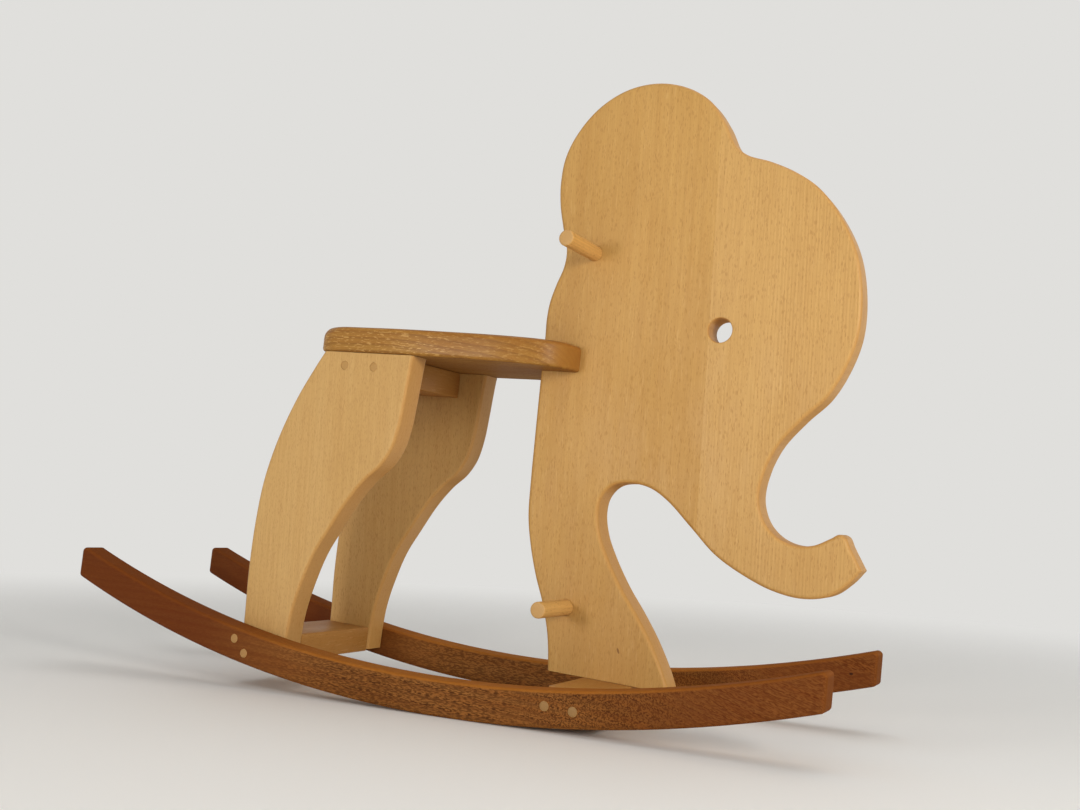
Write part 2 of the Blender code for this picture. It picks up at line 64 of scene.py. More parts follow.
tipForward = np.array((
    (math.cos(stance["tip"]), 0, math.sin(stance["tip"])),
    (0, 1, 0),
    (-math.sin(stance["tip"]), 0, math.cos(stance["tip"])),
))
handleLow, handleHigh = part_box("handle_dowel")
handleCentre = np.array((handleLow + handleHigh) / 2)
levelOrigin = handleCentre - tipForward @ (stance["handlePlace"][0], 0, stance["handlePlace"][1])


def toWorld(points):
    # every level point is turned by the tip and moved to the level frame's origin
    return points @ tipForward.T + levelOrigin


def smoothCurve(knots):
    # Centripetal Catmull-Rom curve. Time runs as the root of the distance between knots, and each point
    # is blended from the lines through the four knots around it. It is then walked at even steps.
    knots = np.asarray(knots, float) / 1000
    padded = np.vstack((2 * knots[0] - knots[1], knots, 2 * knots[-1] - knots[-2]))
    gaps = np.sqrt(np.linalg.norm(np.diff(padded, axis=0), axis=1))
    clock = np.concatenate(((0.0,), np.cumsum(gaps)))
    count = len(knots) - 1
    share = np.linspace(0, 1, 48, endpoint=False)
    now = (clock[1:-2, None] + share * gaps[1:-1, None])[..., None]
    knot = [padded[i:i + count, None, :] for i in range(4)]
    time = [clock[i:i + count, None, None] for i in range(4)]

    def between(i, j, start, end):
        return ((time[j] - now) * start + (now - time[i]) * end) / (time[j] - time[i])

    first = between(0, 1, knot[0], knot[1])
    second = between(1, 2, knot[1], knot[2])
    third = between(2, 3, knot[2], knot[3])
    curve = between(1, 2, between(0, 2, first, second), between(1, 3, second, third))
    curve = np.vstack((curve.reshape(-1, 2), knots[-1]))
    along = np.concatenate(((0.0,), np.cumsum(np.linalg.norm(np.diff(curve, axis=0), axis=1))))
    stops = np.linspace(0, along[-1], max(2, round(along[-1] / boards["spacing"]) + 1))
    return np.column_stack([np.interp(stops, along, curve[:, axis]) for axis in (0, 1)])


def joinRuns(*runs):
    # runs end to end as one closed outline, counterclockwise, without doubled points
    outline = np.vstack(runs)
    step = np.linalg.norm(outline - np.roll(outline, 1, axis=0), axis=1)
    outline = outline[step > 1e-6]
    ahead = np.roll(outline, -1, axis=0)
    area = (outline[:, 0] * ahead[:, 1] - outline[:, 1] * ahead[:, 0]).sum()
    return outline if area > 0 else outline[::-1]


def inset(outline, distance):
    # Each point moves in along the mitre of its two sides, by one distance or by its own. At a corner
    # tighter than that the points would cross over, so they gather at the nearest one that keeps it.
    ahead = np.roll(outline, -1, axis=0) - outline
    ahead /= np.linalg.norm(ahead, axis=1)[:, None]
    inward = np.column_stack((-ahead[:, 1], ahead[:, 0]))
    mitre = inward + np.roll(inward, 1, axis=0)
    mitre *= 2 / (mitre * mitre).sum(axis=1)[:, None]
    moved = outline + mitre * np.broadcast_to(distance, len(outline))[:, None]
    apart = moved[:, None, :] - outline[None, :, :]
    nearest = np.sqrt((apart * apart).sum(axis=2).min(axis=1))
    kept = np.flatnonzero(nearest > distance * 0.995)
    count = len(outline)
    places = np.concatenate((kept - count, kept, kept + count))
    index = np.arange(count)
    after = np.searchsorted(places, index)
    before = np.maximum(after - 1, 0)
    chosen = np.where(places[after] - index <= index - places[before], after, before)
    return moved[places[chosen] % count]


def makePiece(name, points, faces, material):
    # points are level and become world points here, so the finished object sits at the origin
    mesh = bpy.data.meshes.new(name)
    mesh.from_pydata(toWorld(points).tolist(), [], faces)
    solid = bmesh.new()
    solid.from_mesh(mesh)
    bmesh.ops.remove_doubles(solid, verts=solid.verts[:], dist=1e-6)
    bmesh.ops.recalc_face_normals(solid, faces=solid.faces[:])
    solid.to_mesh(mesh)
    solid.free()
    piece = bpy.data.objects.new(name, mesh)
    scene.collection.objects.link(piece)
    if material:
        mesh.materials.append(material)
    return piece


def gridFaces(rows, columns):
    # quads between neighbouring rows of a grid that closes on itself along each row
    row, column = np.meshgrid(np.arange(rows - 1), np.arange(columns), indexing="ij")
    beside = (column + 1) % columns
    corners = (row * columns + column, row * columns + beside,
               (row + 1) * columns + beside, (row + 1) * columns + column)
    return np.stack(corners, axis=-1).reshape(-1, 4).tolist()


def closedFaces(rows, columns):
    # the same, with a cap over the first row and one over the last
    last = (rows - 1) * columns
    caps = [list(range(columns - 1, -1, -1)), list(range(last, last + columns))]
    return gridFaces(rows, columns) + caps


def roundedRows(outline, face, rounding):
    # From the flat of the face out to the side: the outline moves out by the sine of a quarter circle
    # and away from the face by its cosine. The radius is one number, or one for each point.
    rows = [np.column_stack((inset(outline, rounding + boards["guard"]), np.full(len(outline), face)))]
    for turn in np.linspace(0, math.pi / 2, boards["steps"] + 1):
        ring = inset(outline, rounding * (1 - math.sin(turn))) if turn < math.pi / 2 else outline
        behind = np.broadcast_to(rounding * (1 - math.cos(turn)), len(outline))
        rows.append(np.column_stack((ring, face - math.copysign(1, face) * behind)))
    return rows


def boardSolid(name, outline, thickness, lay, material, lower=boards["rounding"], upper=boards["rounding"]):
    # The outline is carried up a profile: out round the lower edge, up the side, and in round the upper.
    rows = roundedRows(outline, -thickness / 2, lower) + roundedRows(outline, thickness / 2, upper)[::-1]
    return makePiece(name, lay(np.vstack(rows)), closedFaces(len(rows), len(outline)), material)


def upright(across):
    # a board on edge, lengthwise along the toy, its middle at this distance across
    return lambda points: np.column_stack((points[:, 0], across - points[:, 2], points[:, 1]))


def flat(middle):
    return lambda points: points + (0, 0, middle)


def turnedSolid(name, start, end, stations, sides, material=None):
    # A circle carried along a straight line: each station is a distance along it and a radius.
    start = np.array(start, float)
    axis = np.array(end, float) - start
    axis /= np.linalg.norm(axis)
    sideways = np.cross(axis, (0.31, 0.17, 0.93) if abs(axis[1]) > 0.5 else (0, 1, 0))
    sideways /= np.linalg.norm(sideways)
    upwards = np.cross(axis, sideways)
    angle = 2 * math.pi * np.arange(sides) / sides
    circle = np.cos(angle)[:, None] * sideways + np.sin(angle)[:, None] * upwards
    stations = np.array(stations, float)
    points = start + stations[:, 0, None, None] * axis + stations[:, 1, None, None] * circle
    return makePiece(name, points.reshape(-1, 3), closedFaces(len(stations), sides), material)


def roundedEnds(length, radius, rounding, steps):
    # stations of a bar whose two ends are eased over by quarter circles
    turn = np.linspace(0, math.pi / 2, steps + 1)
    near = np.column_stack((rounding * (1 - np.cos(turn)), radius - rounding * (1 - np.sin(turn))))
    far = np.column_stack((length - near[::-1, 0], near[::-1, 1]))
    return np.vstack((near, far))


def blockSolid(name, low, high, easing, material=None):
    # A rounded rectangle, its corners eased in the plane across the block, carried along the block.
    low, high = np.array(low, float), np.array(high, float)
    turn = np.linspace(0, math.pi / 2, 5)
    corner = np.column_stack((np.cos(turn), np.sin(turn))) * easing
    inner = (high - low)[[0, 2]] / 2 - easing
    quarter = [(1, 1), (-1, 1), (-1, -1), (1, -1)]
    section = np.vstack([
        (corner if i % 2 == 0 else corner[::-1]) * sign + inner * sign for i, sign in enumerate(quarter)
    ])
    middle = (low + high) / 2
    section += middle[[0, 2]]
    length = high[1] - low[1]
    ends = (0, easing * 0.3, easing, length - easing, length - easing * 0.3, length)
    shrink = (easing, easing * 0.3, 0, 0, easing * 0.3, easing)
    points = []
    for distance, less in zip(ends, shrink):
        scaled = middle[[0, 2]] + (section - middle[[0, 2]]) * (1 - 2 * less / (high - low)[[0, 2]])
        across = np.full(len(section), low[1] + distance)
        points.append(np.column_stack((scaled[:, 0], across, scaled[:, 1])))
    return makePiece(name, np.vstack(points), closedFaces(len(ends), len(section)), material)


def cutWith(piece, cutters):
    # each cutter is taken out of the piece, and the result becomes the piece's own mesh
    for cutter in cutters:
        cut = piece.modifiers.new("cut", "BOOLEAN")
        cut.operation = "DIFFERENCE"
        cut.solver = "EXACT"
        cut.object = cutter
    bpy.context.view_layer.update()
    evaluated = piece.evaluated_get(bpy.context.evaluated_depsgraph_get())
    whole = piece.data
    piece.data = bpy.data.meshes.new_from_object(evaluated)
    piece.modifiers.clear()
    name = whole.name
    bpy.data.meshes.remove(whole)
    piece.data.name = name
    for cutter in cutters:
        spent = cutter.data
        bpy.data.objects.remove(cutter, do_unlink=True)
        bpy.data.meshes.remove(spent)


def sawSquare(piece, height, upwards):
    # the board is sawn off level at this height, and the cut is closed with one face
    place = Vector(toWorld(np.array((0, 0, height), float)))
    outward = Vector(tipForward @ (0, 0, 1 if upwards else -1))
    solid = bmesh.new()
    solid.from_mesh(piece.data)
    parts = solid.verts[:] + solid.edges[:] + solid.faces[:]
    bmesh.ops.bisect_plane(solid, geom=parts, dist=1e-7, plane_co=place, plane_no=outward, clear_outer=True)
    openEdges = [edge for edge in solid.edges if edge.is_boundary]
    bmesh.ops.edgeloop_fill(solid, edges=openEdges)
    bmesh.ops.recalc_face_normals(solid, faces=solid.faces[:])
    solid.to_mesh(piece.data)
    solid.free()


def finishPiece(piece, slot, *nodes):
    # corners over 30 degrees stay crisp, and the piece stands for its CAD nodes on the one body
    piece.data.shade_smooth()
    piece.data.set_sharp_from_angle(angle=math.radians(30))
    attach(piece, "root")
    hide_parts(*nodes)
    return piece


# Materials. Every pattern is solid: it is worked out in a wood frame whose third axis runs along the
# grain and whose second goes through the board, so faces, edges and end grain differ as real ones do.
def shown(red, green, blue):
    # a colour as it looks on a display, 0 to 255, in the linear numbers that shaders take
    part = np.array((red, green, blue)) / 255
    linear = np.where(part <= 0.04045, part / 12.92, ((part + 0.055) / 1.055) ** 2.4)
    return (*linear.tolist(), 1.0)


def addNode(tree, kind, inputs, output=0, **settings):
    made = tree.nodes.new("ShaderNode" + kind)
    for key, value in settings.items():
        setattr(made, key, value)
    for key, value in inputs.items():
        if isinstance(value, bpy.types.NodeSocket):
            tree.links.new(value, made.inputs[key])
        else:
            made.inputs[key].default_value = value
    return made.outputs[output]


def maths(tree, operation, first, second=0.0):
    return addNode(tree, "Math", {0: first, 1: second}, operation=operation)


def times(tree, first, second):
    return maths(tree, "MULTIPLY", first, second)


def plus(tree, first, second):
    return maths(tree, "ADD", first, second)


def vectors(tree, operation, first, second=(0, 0, 0)):
    return addNode(tree, "VectorMath", {0: first, 1: second}, operation=operation)


def lengthOf(tree, vector):
    return addNode(tree, "VectorMath", {0: vector}, "Value", operation="LENGTH")


def partsOf(tree, vector):
    return addNode(tree, "SeparateXYZ", {"Vector": vector}).node.outputs


def ease(tree, value, low, high, start=0.0, end=1.0):
    # goes smoothly from start to end while the value goes from low to high
    span = {"Value": value, "From Min": low, "From Max": high, "To Min": start, "To Max": end}
    return addNode(tree, "MapRange", span, interpolation_type="SMOOTHSTEP")


def mixColour(tree, amount, first, second):
    return addNode(tree, "Mix", {0: amount, 6: first, 7: second}, 2, data_type="RGBA")


def tinted(tree, colour, amount, depth, tint):
    return mixColour(tree, times(tree, amount, depth), colour, tint)


def stretched(tree, place, scale):
    return addNode(tree, "Mapping", {"Vector": place, "Scale": scale})


def cloud(tree, place, scale, detail=2.0, roughness=0.5):
    # soft noise, about 0.5 in the middle, with its own scale in each direction
    fine = {"Vector": stretched(tree, place, scale), "Scale": 1.0, "Detail": detail, "Roughness": roughness}
    return addNode(tree, "TexNoise", fine)


def dashes(tree, place, wide, long, share):
    # Spindles along the grain: in a space squeezed along it, each cell holds a dot of random size and
    # strength, and only this share of the cells holds one.
    cell = {"Vector": stretched(tree, place, (1 / wide, 1 / wide, 1 / long)), "Scale": 1.0}
    distance = addNode(tree, "TexVoronoi", cell)
    chance = addNode(tree, "SeparateColor", {"Color": distance.node.outputs["Color"]}).node.outputs
    size = ease(tree, chance["Red"], 1 - share, 1.0, 0.02, 0.62)
    spindle = ease(tree, maths(tree, "DIVIDE", distance, size), 1.0, 0.45)
    return times(tree, spindle, ease(tree, chance["Green"], 0.0, 1.0, 0.3, 1.0))


def woodFrame(name, wood):
    # The material, its nodes, the turn into the wood frame, the point in that frame, how far the face
    # looks along each of its axes, and how far it looks up.
    material = bpy.data.materials.new(name)
    material.use_nodes = True
    tree = material.node_tree
    grain = np.array(wood["grain"], float)
    grain /= np.linalg.norm(grain)
    through = np.array(wood["through"], float)
    turn = np.array((np.cross(through, grain), through, grain))
    whole = turn @ tipForward.T
    rotation = Matrix(whole.tolist()).to_euler("XYZ")
    coordinates = tree.nodes.new("ShaderNodeTexCoord")
    placing = {"Vector": coordinates.outputs["Object"], "Rotation": rotation,
               "Location": (-whole @ levelOrigin).tolist()}
    place = addNode(tree, "Mapping", placing)
    geometry = tree.nodes.new("ShaderNodeNewGeometry")
    facing = addNode(tree, "Mapping", {"Vector": geometry.outputs["Normal"], "Rotation": rotation},
                     vector_type="VECTOR")
    facing = vectors(tree, "ABSOLUTE", facing)
    up = partsOf(tree, geometry.outputs["Normal"])["Z"]
    return material, tree, turn, place, partsOf(tree, facing), up


def ringLines(tree, place, heart, spacing, wobble):
    # growth rings: distance from the heart of the tree, bent a little, counted in ring widths
    bend = cloud(tree, place, (7, 7, 1.6), 2.0)
    sway = cloud(tree, place, (60, 60, 5), 2.0)
    away = vectors(tree, "SUBTRACT", place, (*heart, 0))
    away = lengthOf(tree, vectors(tree, "MULTIPLY", away, (1, 1, 0)))
    away = plus(tree, away, times(tree, bend, wobble))
    away = plus(tree, away, times(tree, sway, wobble * 0.12))
    return maths(tree, "FRACT", maths(tree, "DIVIDE", away, spacing))


def lateWood(tree, ring):
    # each ring darkens slowly and ends sharply
    return times(tree, ease(tree, ring, 0.35, 0.92), ease(tree, ring, 1.0, 0.93))


def darkKnots(tree, place, turn, knots):
    # small oval spots, each with its place on the board, its length and width, and its lean
    spots = 0.0
    for along, up, length, width, lean in knots:
        near = vectors(tree, "SUBTRACT", place, (turn @ (along, 0, up)).tolist())
        spun = addNode(tree, "Mapping", {"Vector": near, "Rotation": (0, math.radians(lean), 0)})
        oval = vectors(tree, "MULTIPLY", spun, (2 / width, 0, 2 / length))
        spot = ease(tree, lengthOf(tree, oval), 1.2, 0.7)
        spots = maths(tree, "MAXIMUM", spots, spot)
    return spots


def finishWood(tree, wood, up, colour, roughness, height):
    # The oiled surface: colour and roughness from the pattern, and relief from pores. Undersides, and
    # the tops of some pieces, are left rougher, because they get less sanding and less oil.
    roughness = plus(tree, roughness, ease(tree, up, -0.5, -0.9, 0.0, 0.4))
    roughness = plus(tree, roughness, ease(tree, up, 0.5, 0.9, 0.0, wood["dryTop"]))
    bump = {"Strength": wood["relief"], "Distance": 0.0004, "Height": height}
    shader = tree.nodes["Principled BSDF"]
    tree.links.new(colour, shader.inputs["Base Color"])
    tree.links.new(roughness, shader.inputs["Roughness"])
    tree.links.new(addNode(tree, "Bump", bump), shader.inputs["Normal"])
    shader.inputs["IOR"].default_value = 1.48
    shader.inputs["Specular IOR Level"].default_value = wood["shine"]
    shader.inputs["Coat Weight"].default_value = wood["coat"]
    shader.inputs["Coat Roughness"].default_value = wood["coatRoughness"]


def beech(name, **changes):
    # Beech: honey-pale, faint growth lines, and short dark flecks all along the grain.
    wood = {**beechWood, **changes}
    material, tree, turn, place, facing, up = woodFrame(name, wood)
    here = vectors(tree, "ADD", place, wood["shift"])

    # staves: the board is glued up from two, and the second is sawn so that its rings show as fine lines
    ring = ringLines(tree, place, wood["heart"], wood["ringWidth"], wood["wobble"])
    lines = times(tree, lateWood(tree, ring), wood["lineDepth"])
    second = 0.0
    if wood["joint"]:
        across = partsOf(tree, place)["X"]
        second = ease(tree, across, wood["joint"]["at"] - 0.0002, wood["joint"]["at"] + 0.0002)
        fineRing = ringLines(tree, place, wood["joint"]["heart"], wood["joint"]["ringWidth"], 0.004)
        fine = times(tree, lateWood(tree, fineRing), wood["joint"]["lineDepth"])
        fine = times(tree, fine, ease(tree, cloud(tree, here, (40, 40, 6), 2.0), 0.3, 0.65, 0.25))
        outward = ease(tree, across, wood["joint"]["at"] + 0.01, wood["joint"]["at"] + 0.07, 0.35)
        fine = times(tree, fine, outward)
        lines = addNode(tree, "Mix", {0: second, 2: lines, 3: fine})

    # tone drifts over a hand's breadth, and again in bands that follow the grain
    drift = cloud(tree, here, (9, 9, 3), 3.0)
    bands = cloud(tree, here, (85, 85, 2.2), 3.0, 0.6)
    fibre = cloud(tree, here, (1000, 1000, 26), 3.0, 0.65)
    colour = mixColour(tree, ease(tree, drift, 0.32, 0.68), wood["pale"], wood["deep"])
    colour = mixColour(tree, ease(tree, bands, 0.35, 0.72, 0.0, wood["bandDepth"]), colour, wood["warm"])
    if wood["joint"]:
        colour = tinted(tree, colour, second, 0.35, wood["joint"]["colour"])
    colour = mixColour(tree, lines, colour, wood["line"])
    colour = mixColour(tree, ease(tree, fibre, 0.3, 0.7, 0.0, wood["fibreDepth"]), colour, wood["line"])
    silver = ease(tree, cloud(tree, here, (700, 700, 70), 2.0), 0.58, 0.72, 0.0, wood["fibreDepth"])
    colour = mixColour(tree, silver, colour, wood["silver"])

    # flecks: the ends of the rays, seen as thin spindles; a second, finer lot lies between them
    coarse = dashes(tree, here, 0.0011, 0.0048, wood["flecks"])
    finer = dashes(tree, vectors(tree, "ADD", here, (0.013, 0.027, 0.041)), 0.0008, 0.0032, 0.85)
    fleck = maths(tree, "MAXIMUM", coarse, times(tree, finer, 0.7))
    colour = tinted(tree, colour, fleck, wood["fleckDepth"], wood["fleck"])

    # end grain drinks more oil, and the rounded edges and sides of the board are tinted a warmer tone
    endGrain = ease(tree, facing["Z"], 0.5, 0.96)
    colour = tinted(tree, colour, endGrain, wood["endDepth"], wood["endGrain"])
    edge = ease(tree, facing["Y"], 0.985, 0.75)
    colour = tinted(tree, colour, edge, wood["edgeDepth"], wood["edge"])
    if wood["knots"]:
        knot = darkKnots(tree, place, turn, wood["knots"])
        colour = tinted(tree, colour, knot, 0.85, wood["knot"])

    patchy = cloud(tree, here, (30, 30, 12), 3.0, 0.6)
    roughness = ease(tree, patchy, 0.3, 0.7, wood["sheen"] - 0.05, wood["sheen"] + 0.06)
    roughness = plus(tree, roughness, times(tree, fleck, 0.12))
    roughness = plus(tree, roughness, times(tree, endGrain, 0.10))
    height = maths(tree, "SUBTRACT", times(tree, fibre, 0.5), times(tree, fleck, 0.6))
    finishWood(tree, wood, up, colour, roughness, height)
    return material


def oak(name, **changes):
    # Oak: brown, with dark open pores in rows along the grain and pale ray flecks on the sawn edges.
    wood = {**oakWood, **changes}
    material, tree, turn, place, facing, up = woodFrame(name, wood)
    here = vectors(tree, "ADD", place, wood["shift"])
    parts = partsOf(tree, here)

    # Towards the front the grain runs out downhill, steeply at first: the pattern slides across there.
    along = partsOf(tree, place)["Z"]
    past = maths(tree, "MAXIMUM", maths(tree, "SUBTRACT", along, wood["runOutFrom"]), 0.0)
    slide = times(tree, past, -wood["runOut"])
    drop = ease(tree, along, wood["runOutFrom"], wood["runOutFrom"] + 0.13, 0.0, -wood["drop"])
    slide = plus(tree, slide, drop)
    swirl = cloud(tree, here, (16, 16, 7), 2.0)
    calm = cloud(tree, here, (90, 90, 30), 1.0)
    slide = plus(tree, slide, times(tree, swirl, wood["swirl"]))
    slide = plus(tree, slide, times(tree, calm, 0.0022))
    bent = addNode(tree, "CombineXYZ", {"X": plus(tree, parts["X"], slide),
                                        "Y": parts["Y"], "Z": parts["Z"]})

    ring = ringLines(tree, bent, wood["heart"], wood["ringWidth"], wood["wobble"])
    early = ease(tree, ring, 0.42, 0.05)
    late = lateWood(tree, ring)
    drift = cloud(tree, bent, (14, 14, 4), 3.0)
    bands = cloud(tree, bent, (160, 160, 5), 3.0, 0.6)
    fibre = cloud(tree, bent, (1500, 1500, 40), 2.0, 0.6)
    colour = mixColour(tree, ease(tree, drift, 0.3, 0.7), wood["pale"], wood["deep"])
    colour = mixColour(tree, ease(tree, bands, 0.35, 0.7, 0.0, 0.45), colour, wood["warm"])
    endGrain = ease(tree, facing["Z"], 0.55, 0.96)
    ringDepth = maths(tree, "SUBTRACT", wood["ringDepth"], times(tree, endGrain, wood["ringDepth"] * 0.6))
    late = times(tree, late, ringDepth)
    colour = mixColour(tree, late, colour, wood["line"])
    colour = mixColour(tree, ease(tree, fibre, 0.25, 0.75, 0.0, 0.3), colour, wood["line"])

    # on the face pores and ray ends are dark dashes; they crowd where a ring begins
    face = ease(tree, facing["Y"], 0.25, 0.75)
    side = ease(tree, facing["X"], 0.35, 0.85)
    long = dashes(tree, bent, 0.0009, 0.0046, wood["pores"])
    short = dashes(tree, vectors(tree, "ADD", bent, (0.017, 0.031, 0.023)), 0.0007, 0.0031, wood["pores"])
    net = ease(tree, cloud(tree, bent, (940, 940, 220), 1.0, 0.5), 0.45, 0.56)
    dash = maths(tree, "MAXIMUM", long, times(tree, short, 0.9))
    if wood["speckle"]:
        # where the front foot stands the marks are dots, cut almost square across the grain
        front = times(tree, ease(tree, along, 0.10, 0.17), ease(tree, along, 0.31, 0.24))
        front = times(tree, front, wood["speckle"])
        dots = ease(tree, cloud(tree, bent, (880, 880, 640), 1.0, 0.5), 0.45, 0.55)
        net = addNode(tree, "Mix", {0: front, 2: net, 3: dots})
        dash = times(tree, dash, maths(tree, "SUBTRACT", 1.0, times(tree, front, 0.75)))
    pore = maths(tree, "MAXIMUM", dash, times(tree, net, wood["netDepth"]))
    crowd = plus(tree, times(tree, early, 0.3), 0.7)
    faded = ease(tree, along, wood["smoothFrom"], wood["smoothFrom"] - 0.12, 1.0, 0.35)
    showing = plus(tree, times(tree, face, 0.7), 0.3)
    pore = times(tree, times(tree, pore, crowd), times(tree, showing, faded))
    colour = tinted(tree, colour, pore, wood["poreDepth"], wood["pore"])

    # across the rays, on the sawn edge, they lie open as short pale wavy marks
    waves = cloud(tree, here, (460, 820, 150), 3.0, 0.6)
    rays = times(tree, ease(tree, waves, 0.54, 0.64), side)
    rays = times(tree, rays, ease(tree, along, -0.02, 0.03, 1.0, 0.45))
    colour = tinted(tree, colour, rays, wood["rayDepth"], wood["ray"])

    colour = tinted(tree, colour, endGrain, 0.4, wood["endGrain"])
    # painted highlight: the rounded edges and sides take the orange edge colour fully where they face up, as
    # where light from above catches them, and only a little where they face down
    edge = times(tree, ease(tree, facing["Y"], 0.985, 0.8), ease(tree, up, -0.2, 0.5, 0.15))
    edge = times(tree, edge, wood["edgeDepth"])
    colour = mixColour(tree, edge, colour, wood["edge"])
    # partly painted shade: the back end and the toe darken and redden, partly the board's own redder tone
    # and partly shade where the light falls off at the rockers' ends
    rear = ease(tree, along, wood["smoothFrom"], wood["smoothFrom"] - 0.2, 0.0, wood["rearDepth"])
    colour = mixColour(tree, rear, colour, wood["rear"])
    toe = ease(tree, along, wood["runOutFrom"] - 0.05, wood["runOutFrom"] + 0.1, 0.0, wood["toeDepth"])
    colour = mixColour(tree, toe, colour, wood["toe"])
    if wood["knots"]:
        knot = darkKnots(tree, place, turn, wood["knots"])
        colour = tinted(tree, colour, knot, 0.9, wood["knot"])

    patchy = cloud(tree, here, (40, 40, 14), 3.0, 0.6)
    roughness = ease(tree, patchy, 0.3, 0.7, wood["sheen"] - 0.05, wood["sheen"] + 0.07)
    roughness = plus(tree, roughness, times(tree, pore, 0.2))
    roughness = plus(tree, roughness, times(tree, endGrain, 0.3))
    roughness = maths(tree, "SUBTRACT", roughness, times(tree, rays, 0.08))
    height = maths(tree, "SUBTRACT", times(tree, fibre, 0.3), pore)
    height = plus(tree, height, times(tree, rays, 0.2))
    finishWood(tree, wood, up, colour, roughness, height)
    return material


alongToy, acrossToy, upToy = (1, 0, 0), (0, 1, 0), (0, 0, 1)

beechWood = {
    "grain": upToy, "through": acrossToy, "shift": (0.0, 0.0, 0.0),
    "pale": shown(208, 163, 94), "deep": shown(196, 150, 80), "warm": shown(190, 140, 70),
    "line": shown(164, 114, 54), "lineDepth": 0.14, "bandDepth": 0.3, "fibreDepth": 0.22,
    "silver": shown(224, 184, 122),
    "heart": (0.10, -0.16), "ringWidth": 0.0042, "wobble": 0.016,
    "flecks": 0.6, "fleck": shown(140, 80, 32), "fleckDepth": 0.33,
    "endGrain": shown(170, 118, 60), "endDepth": 0.35,
    "edge": shown(198, 140, 70), "edgeDepth": 0.45,
    "joint": None, "knots": (), "knot": shown(136, 92, 46),
    "sheen": 0.46, "shine": 0.32, "relief": 0.16, "dryTop": 0.0, "coat": 0.0, "coatRoughness": 0.35,
}

oakWood = {
    "grain": alongToy, "through": acrossToy, "shift": (0.0, 0.0, 0.0),
    "pale": shown(160, 102, 48), "deep": shown(138, 82, 34), "warm": shown(148, 80, 32),
    "line": shown(100, 56, 24), "ringDepth": 0.35, "netDepth": 0.0, "speckle": 0.0,
    "heart": (0.02, -0.09), "ringWidth": 0.0046, "wobble": 0.02,
    "runOutFrom": 1.0, "runOut": 0.0, "drop": 0.0, "swirl": 0.006, "smoothFrom": -1.0,
    "pores": 0.75, "pore": shown(66, 34, 16), "poreDepth": 0.8,
    "ray": shown(206, 158, 88), "rayDepth": 0.5,
    "endGrain": shown(112, 68, 34), "edge": shown(176, 110, 54), "edgeDepth": 0.3,
    "rear": shown(124, 62, 28), "rearDepth": 0.0, "toe": shown(124, 62, 28), "toeDepth": 0.0,
    "knots": (), "knot": shown(50, 26, 12),
    "sheen": 0.44, "shine": 0.16, "relief": 0.3, "dryTop": 0.0, "coat": 0.0, "coatRoughness": 0.3,
}


# The rockers come first, because rails, legs and the head board stand on them.
rocker = {
    "radius": 1.160,
    "height": 0.030,
    "halfLength": 0.3744,
    "corner": 0.004,
    "inner": 0.0796,        # from the toy's middle to the face that meets the leg
    "flatten": 0.00005,     # lifts the smooth arc clear of the floor
}
rockerWood = {              # its places are distances along the toy from its middle
    "pale": shown(164, 108, 52), "deep": shown(136, 84, 34), "warm": shown(144, 80, 26),
    "runOutFrom": 0.225, "runOut": 0.19, "drop": 0.007, "smoothFrom": -0.03,
    # rear and toe: darker, redder ends, partly the board's own tone and partly painted shade
    "rear": shown(98, 40, 6), "rearDepth": 0.8, "toe": shown(106, 50, 12), "toeDepth": 0.6,
    "pores": 0.95, "pore": shown(54, 26, 8), "poreDepth": 0.95, "netDepth": 0.85, "speckle": 1.0,
    "sheen": 0.56, "shine": 0.1, "dryTop": 0.34,
    # the edge colour is a painted highlight on the upturned rounded edges
    "edge": shown(176, 108, 38), "edgeDepth": 0.7,
}


def rockerUnder(along):
    # height of the rockers' lower arc at this distance from their lowest point
    return rocker["radius"] - math.sqrt(rocker["radius"] ** 2 - along ** 2)


def heading(angle):
    return np.stack((np.cos(angle), np.sin(angle)), axis=-1)


def roundedCorner(corner, arriving, leaving):
    # A circle that touches both sides of a corner: its centre lies the radius times the tangent of half
    # the turn back along the arriving side, and a radius in from it.
    reach = rocker["corner"] * math.tan((leaving - arriving) / 2)
    centre = corner - reach * heading(arriving) + rocker["corner"] * heading(arriving + math.pi / 2)
    return centre + rocker["corner"] * heading(np.linspace(arriving, leaving, 11) - math.pi / 2)


def rockerOutline():
    # the lower arc, an upright end with rounded corners, the same arc raised, and the end mirrored
    half, radius = rocker["halfLength"], rocker["radius"] - rocker["flatten"]
    slope = math.asin(half / rocker["radius"])
    low = np.array((half, rocker["radius"] - radius * math.cos(slope)))
    front = np.vstack((roundedCorner(low, slope, math.pi / 2),
                       roundedCorner(low + (0, rocker["height"]), math.pi / 2, math.pi + slope)))
    reach = math.asin((half - 1.6 * rocker["corner"]) / radius)
    sweep = np.linspace(-reach, reach, round(2 * reach * radius / 0.003))
    under = np.column_stack((radius * np.sin(sweep), rocker["radius"] - radius * np.cos(sweep)))
    above = under[::-1] + (0, rocker["height"] - rocker["flatten"])
    return np.vstack((under, front, above, front[::-1] * (-1, 1)))


